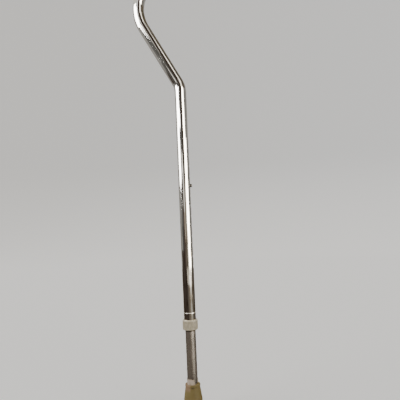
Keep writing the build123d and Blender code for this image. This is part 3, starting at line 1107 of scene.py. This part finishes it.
def make_card(name, first, last, low, high, radiance, color, distance=CARD_DISTANCE):
    """An upright card round the cane, between two azimuths and two heights."""
    feet = [(distance * sin(bearing), -distance * cos(bearing))
            for bearing in arc_bearings(first, last)]
    reflection_card(name, [(x, y, low) for x, y in feet], [(x, y, high) for x, y in feet],
                    radiance, color)


def make_floor_card(name, first, last, near, far, radiance, color, height=FLOOR_CARD_Z):
    """A flat card over part of the floor, between two distances from the cane."""
    bearings = arc_bearings(first, last)
    rows = [[(reach * sin(bearing), -reach * cos(bearing), height) for bearing in bearings]
            for reach in (near, far)]
    reflection_card(name, *rows, radiance, color)


def make_world():
    """Dim, slightly cool light from all round."""
    world = bpy.data.worlds.new("studio")
    world.use_nodes = True
    background = world.node_tree.nodes["Background"]
    background.inputs["Color"].default_value = (0.95, 0.97, 1.0, 1)
    background.inputs["Strength"].default_value = 0.4
    bpy.context.scene.world = world


make_floor()
make_world()
make_soft_light("soft_left", -75, 35, 1.25, WHITE)
make_soft_light("soft_right", 50, 30, 0.85, CREAM)
make_soft_light("soft_back", 165, 40, 0.55, WHITE)

# What the bright tube mirrors: name, azimuths in degrees to the right of the camera,
# heights, radiance and colour.
for card in (
    ("window_left", -92, -60, 0.73, 1.25, 15, WHITE),
    ("window_left_edge", -60, -54, 0.77, 1.25, 15, WHITE),
    ("window_left_sill", -60, -54, 0.73, 0.77, 0.11, STONE),
    ("window_left_middle", -92, -32, 1.25, 1.42, 15, WHITE),
    ("window_left_upper", -92, -42, 1.42, 1.6, 15, WHITE),
    ("window_left_top", -92, -50, 1.6, 2.7, 15, WHITE),
    ("window_left_corner", -50, -33, 1.6, 2.4, 15, WHITE),
    ("window_left_haze", -50, -33, 2.4, 2.7, 0.5, STONE),
    ("window_left_side", -33, -10, 2.15, 2.7, 1.0, WHITE),
    ("window_right", 31, 75, 0.0, 1.15, 14, CREAM),
    ("window_right_top", 29, 57, 1.15, 2.0, 15, CREAM),
    ("window_right_haze", 28, 50, 2.0, 2.7, 2.2, CREAM),
    ("left_ceiling", -180, -20, 2.7, 4.8, 0.8, STONE),
    ("back_left", -180, -92, 0.73, 2.7, 0.45, STONE),
    ("back_left_low", -180, -112, 0.0, 0.73, 0.33, STONE),
    ("left_low", -112, -80, 0.16, 0.73, 0.32, STONE),
    ("left_shade", -80, -50, 0.16, 0.73, 0.08, STONE),
    ("left_dark", -112, -50, 0.0, 0.16, 0.06, BROWN),
    ("left_glint", -70, -52, 0.38, 0.6, 0.17, STONE, GLINT_DISTANCE),
    ("front_left_shade", -50, -24, 0.0, 0.73, 0.08, BROWN),
    ("front_left", -54, -31, 0.73, 1.25, 0.11, STONE),
    ("front_left_low", -31, -24, 0.73, 0.84, 0.3, STONE),
    ("front_left_glint", -31, -24, 0.84, 1.02, 2.4, STONE),
    ("front_left_middle", -31, -26, 1.02, 1.25, 0.11, STONE),
    ("front_left_upper", -32, -26, 1.25, 1.42, 0.11, STONE),
    ("front_left_top", -42, -26, 1.42, 1.6, 0.11, STONE),
    ("front_left_high", -33, -26, 1.6, 2.15, 0.11, STONE),
    ("front_stripe_foot", -24, -8, 0.0, 0.25, 0.15, TAUPE),
    ("front_stripe_low", -24, -8, 0.25, 0.51, 0.5, TAUPE),
    ("front_stripe", -24, -8, 0.51, 1.02, 1.2, STONE),
    ("front_stripe_top", -26, -8, 1.02, 1.7, 0.12, STONE),
    ("front_gleam", -26, -10, 1.7, 2.15, 1.0, STONE),
    ("front_foot", -8, 15, 0.0, 0.25, 0.17, TAUPE),
    ("front_low", -8, 15, 0.25, 0.74, 0.28, TAUPE),
    ("front", -8, 15, 0.74, 1.7, 0.06, BROWN),
    ("front_high", -10, 15, 1.7, 2.7, 0.05, BROWN),
    ("front_ceiling", -20, 39, 2.7, 4.8, 0.05, BROWN),
    ("front_right_low", 15, 31, 0.0, 0.8, 0.8, CREAM),
    ("front_right_middle", 15, 31, 0.8, 1.15, 0.15, CREAM),
    ("front_right", 15, 29, 1.15, 2.0, 0.15, TAUPE),
    ("front_right_top", 15, 28, 2.0, 2.7, 0.08, BROWN),
    ("ceiling_gleam_low", 39, 54, 2.7, 3.8, 3.2, CREAM),
    ("ceiling_gleam", 39, 54, 3.8, 4.8, 1.4, CREAM),
    ("right_low", 75, 130, 0.0, 1.15, 0.22, STONE),
    ("back_right_low", 130, 180, 0.0, 1.15, 0.3, STONE),
    ("right", 57, 130, 1.15, 2.0, 0.24, STONE),
    ("right_haze", 50, 130, 2.0, 2.7, 0.13, TAUPE),
    ("right_ceiling", 54, 130, 2.7, 4.8, 0.1, TAUPE),
    ("back_right", 130, 180, 1.15, 2.7, 0.42, STONE),
    ("back_right_ceiling", 130, 180, 2.7, 4.8, 0.2, TAUPE),
):
    make_card(*card)

# What lies on the floor: name, azimuths, distances from the cane, radiance and colour.
# The sheen lies just above the cloth.
make_floor_card("cloth", -128, 165, 0.03, 3.6, 0.055, BROWN)
make_floor_card("cloth_far", 165, 232, 0.03, 3.6, 0.22, TAUPE)
for card in (
    ("sheen_leg", -110, -14, 0.15, 0.7, 0.17, TAUPE),
    ("sheen_left", -14, 10, 0.2, 1.9, 0.13, TAUPE),
    ("sheen_left_far", -14, 26, 1.9, 3.6, 0.9, CREAM),
    ("sheen_middle", 10, 26, 0.2, 1.9, 0.28, TAUPE),
    ("sheen_near", 26, 66, 0.2, 1.3, 0.45, CREAM),
    ("sheen", 26, 66, 1.3, 1.8, 0.8, CREAM),
    ("sheen_far", 26, 66, 1.8, 3.6, 2.4, CREAM),
    ("sheen_right", 66, 120, 0.2, 3.6, 0.13, TAUPE),
):
    make_floor_card(*card, height=2 * FLOOR_CARD_Z)
